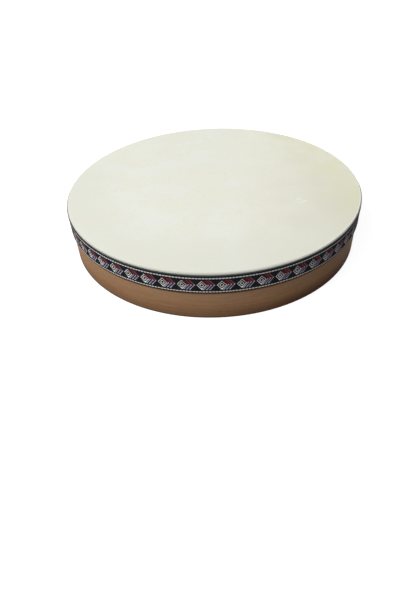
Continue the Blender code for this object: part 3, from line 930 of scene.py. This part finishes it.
class PinSettings(bpy.types.PropertyGroup):
    head: size_of("Brad head", "Radius of a brad's head", 0.0016)
    dome: size_of("Dome", "How far a brad's head stands up", 0.0003, precision=5)
    brass: tint("Brass", "Dulled brass of the brads", 0.34, 0.2, 0.065)
    steel: tint("Steel", "Blued steel of the tacks", 0.35, 0.36, 0.38)


def brad_places():
    """Angle and height of each brad, column by column along the joint, low one first."""
    pitch = math.degrees(BRAD_PITCH / HOOP_RADIUS)
    return [(BRAD_MIDDLE + step * pitch, z) for step in (-1, 0, 1) for z in (BRAD_LOW, BRAD_HIGH)]


def brad_mesh(name, angle, height, radius, pin):
    """A brad: a domed head over a thin shank, turned about the radius that it is driven along."""
    head, dome = pin.head, pin.dome
    ball = (head**2 + dome**2) / (2 * dome)
    top = [(r, dome - ball + math.sqrt(ball**2 - r**2)) for r in np.linspace(0, head - 0.0001, 7)]
    shank = [(0.0008, -0.0005), (0.0008, -0.004), (0.0, -0.0065)]
    r, out = np.array([*top, (head, -0.00008), (head - 0.0001, -0.0005), *shank]).T
    around, turn = np.radians(np.arange(0, 360, 15))[:, None], math.radians(angle)
    away, side, up = radius + out + 0 * around, r * np.cos(around), height + r * np.sin(around)
    x = away * math.cos(turn) - side * math.sin(turn)
    y = away * math.sin(turn) + side * math.cos(turn)
    points = np.stack([x, y, up], axis=-1)
    return welded_mesh(name, [grid_surface(points[:, ::-1], closed=True)])


def worn_metal(name, colour, stain, rough):
    """Small metal heads: stained in patches, with fine scratches in the bump."""
    nodes, place = new_material(name)
    patch = nodes.mottle(place, 0.0012, 2.4)
    normal = nodes.bumps((nodes.fibres(place, 0.002, 0.00006, 2.2), 0.00002, 0.5))
    tone = nodes.mix(patch * 0.5, colour, stain)
    return nodes.dress(Base_Color=tone, Roughness=rough + patch * 0.2, Normal=normal, Metallic=1)


class BENDIR_OT_brads(bpy.types.Operator):
    """Makes the brass brads of the scarf joint"""

    bl_idname = "bendir.brads"
    bl_label = "Brads"

    def execute(self, context):
        pin, hoop = context.scene.bendir_pins, context.scene.bendir_hoop
        material = worn_metal("brad_brass", pin.brass, (0.11, 0.065, 0.035), 0.3)
        for i, (angle, height) in enumerate(brad_places(), 1):
            mesh = brad_mesh(f"brad_{i}", angle, height, hoop.radius, pin)
            add_piece(f"brad_{i}", mesh, material, "brad_brass", f"scarf_brad_{i}")
        return {"FINISHED"}


class BENDIR_OT_tacks(bpy.types.Operator):
    """Gives the hide tacks under the ribbon their blued steel"""

    bl_idname = "bendir.tacks"
    bl_label = "Tacks"

    def execute(self, context):
        material = worn_metal("tack_steel", context.scene.bendir_pins.steel, (0.1, 0.09, 0.1), 0.35)
        for name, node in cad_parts.items():
            if name.startswith("hide_tack"):
                for slot in node.material_slots:
                    slot.material = material
        return {"FINISHED"}


# Stage


class StageSettings(bpy.types.PropertyGroup):
    floor: tint("Floor", "Pale floor", 0.3, 0.3, 0.3)
    key: number("Key light", "Power of the big lamp, upper left", 99.0, unit="POWER")
    front: number("Front light", "Power of the lamp in front", 35.0, unit="POWER")
    back: number("Back light", "Power of the low lamp behind", 26.0, unit="POWER")
    room: number("Room light", "Strength of the light from all round", 0.21)


def add_lamp(name, place, size, power):
    """A soft square lamp at a place, facing the drum."""
    lamp = bpy.data.lights.new(name, "AREA")
    lamp.shape, lamp.size, lamp.energy = "SQUARE", size, power
    holder = placed(name, lamp)
    holder.location = place
    holder.rotation_euler = (Vector(LAMPS_AIM) - Vector(place)).to_track_quat("-Z", "Y").to_euler()


def seen_white(nodes):
    """1 for what the camera sees, also mirrored or through glass, and 0 for the light on the drum."""
    rays = nodes.node("ShaderNodeLightPath").outputs
    kinds = ("Camera", "Glossy", "Transmission")
    seen, mirrored, through = [Value(nodes, rays[f"Is {kind} Ray"]) for kind in kinds]
    return ((seen + mirrored).clamped() + through).clamped()


def room_light(strength):
    """A world that lights softly from all round and is white where it is seen or mirrored."""
    world = bpy.data.worlds.new("Room")
    world.use_nodes = True
    world.node_tree.nodes.clear()
    nodes = Nodes(world.node_tree)
    level = strength + seen_white(nodes) * (1.0 - strength)
    light = nodes.add("ShaderNodeBackground", {"Color": (1, 1, 1), "Strength": level})
    nodes.node("ShaderNodeOutputWorld", {"Surface": light})
    bpy.context.scene.world = world


def pale_floor(colour):
    """A floor that is white to the camera but for the drum's soft shadow."""
    nodes, place = new_material("pale_floor")
    x, y, _ = nodes.parts(place)
    radius = nodes.hypot(x, y)
    shine = seen_white(nodes) * radius.step(0.196, 0.202) * radius.step(0.5, 1.6, 0.87, 1)
    nodes.dress(Base_Color=colour, Roughness=0.9, Specular_IOR_Level=0)
    return nodes.dress(Emission_Color=(1, 1, 1), Emission_Strength=shine)


def add_floor(colour):
    """A square sheet of floor under the drum."""
    far = FLOOR_HALF
    corners = [(x * far, y * far, FLOOR_LEVEL) for x, y in ((-1, -1), (1, -1), (1, 1), (-1, 1))]
    mesh = bpy.data.meshes.new("floor")
    mesh.from_pydata(corners, [], [(0, 1, 2, 3)])
    mesh.materials.append(pale_floor(colour))
    placed("floor", mesh)


def aim_camera():
    """The photo's camera: rolled about its own axis, tilted up from straight down, then turned about Z."""
    lens = bpy.data.cameras.new("camera")
    lens.lens, lens.sensor_width = CAMERA_LENS, 36.0
    lens.clip_start, lens.clip_end = 0.01, 50.0
    camera = placed("camera", lens)
    camera.matrix_world = Matrix.Translation(CAMERA_PLACE)
    for degrees, axis in CAMERA_TURNS:
        camera.matrix_world @= Matrix.Rotation(math.radians(degrees), 4, axis)
    bpy.context.scene.camera = camera


class BENDIR_OT_stage(bpy.types.Operator):
    """Makes the floor, the lamps, the room light and the camera"""

    bl_idname = "bendir.stage"
    bl_label = "Stage"

    def execute(self, context):
        stage = context.scene.bendir_stage
        add_floor(stage.floor)
        add_lamp("key", (-2.05, -0.85, 2.35), 2.0, stage.key)
        add_lamp("front", (-1.1, -2.4, 0.9), 1.2, stage.front)
        add_lamp("back", (0.9, 1.9, 0.45), 0.8, stage.back)
        room_light(stage.room)
        aim_camera()
        context.scene.view_settings.view_transform = "Standard"
        return {"FINISHED"}


# Panel and registration

OPERATORS = (
    BENDIR_OT_hoop, BENDIR_OT_head, BENDIR_OT_ribbon, BENDIR_OT_snares, BENDIR_OT_brads, BENDIR_OT_tacks,
    BENDIR_OT_stage,
)
SETTINGS = {
    "bendir_hoop": HoopSettings,
    "bendir_head": HeadSettings,
    "bendir_ribbon": RibbonSettings,
    "bendir_snares": SnareSettings,
    "bendir_pins": PinSettings,
    "bendir_stage": StageSettings,
}


class BENDIR_PT_pieces(bpy.types.Panel):
    """Lists the drum's pieces with their sizes and colours"""

    bl_label = "Bendir"
    bl_space_type = "VIEW_3D"
    bl_region_type = "UI"
    bl_category = "Bendir"

    def draw(self, context):
        for operator in OPERATORS:
            self.layout.operator(operator.bl_idname)
        for name, group in SETTINGS.items():
            box = self.layout.box()
            for field in group.__annotations__:
                box.prop(getattr(context.scene, name), field)


CLASSES = (*SETTINGS.values(), *OPERATORS, BENDIR_PT_pieces)


def register():
    for group in CLASSES:
        bpy.utils.register_class(group)
    for name, group in SETTINGS.items():
        setattr(bpy.types.Scene, name, PointerProperty(type=group))


def unregister():
    for name in SETTINGS:
        delattr(bpy.types.Scene, name)
    for group in reversed(CLASSES):
        bpy.utils.unregister_class(group)


def main():
    """Makes every piece and the stage."""
    register()
    bpy.ops.bendir.hoop()
    bpy.ops.bendir.head()
    bpy.ops.bendir.ribbon()
    bpy.ops.bendir.snares()
    bpy.ops.bendir.brads()
    bpy.ops.bendir.tacks()
    bpy.ops.bendir.stage()


if __name__ == "__main__":
    main()
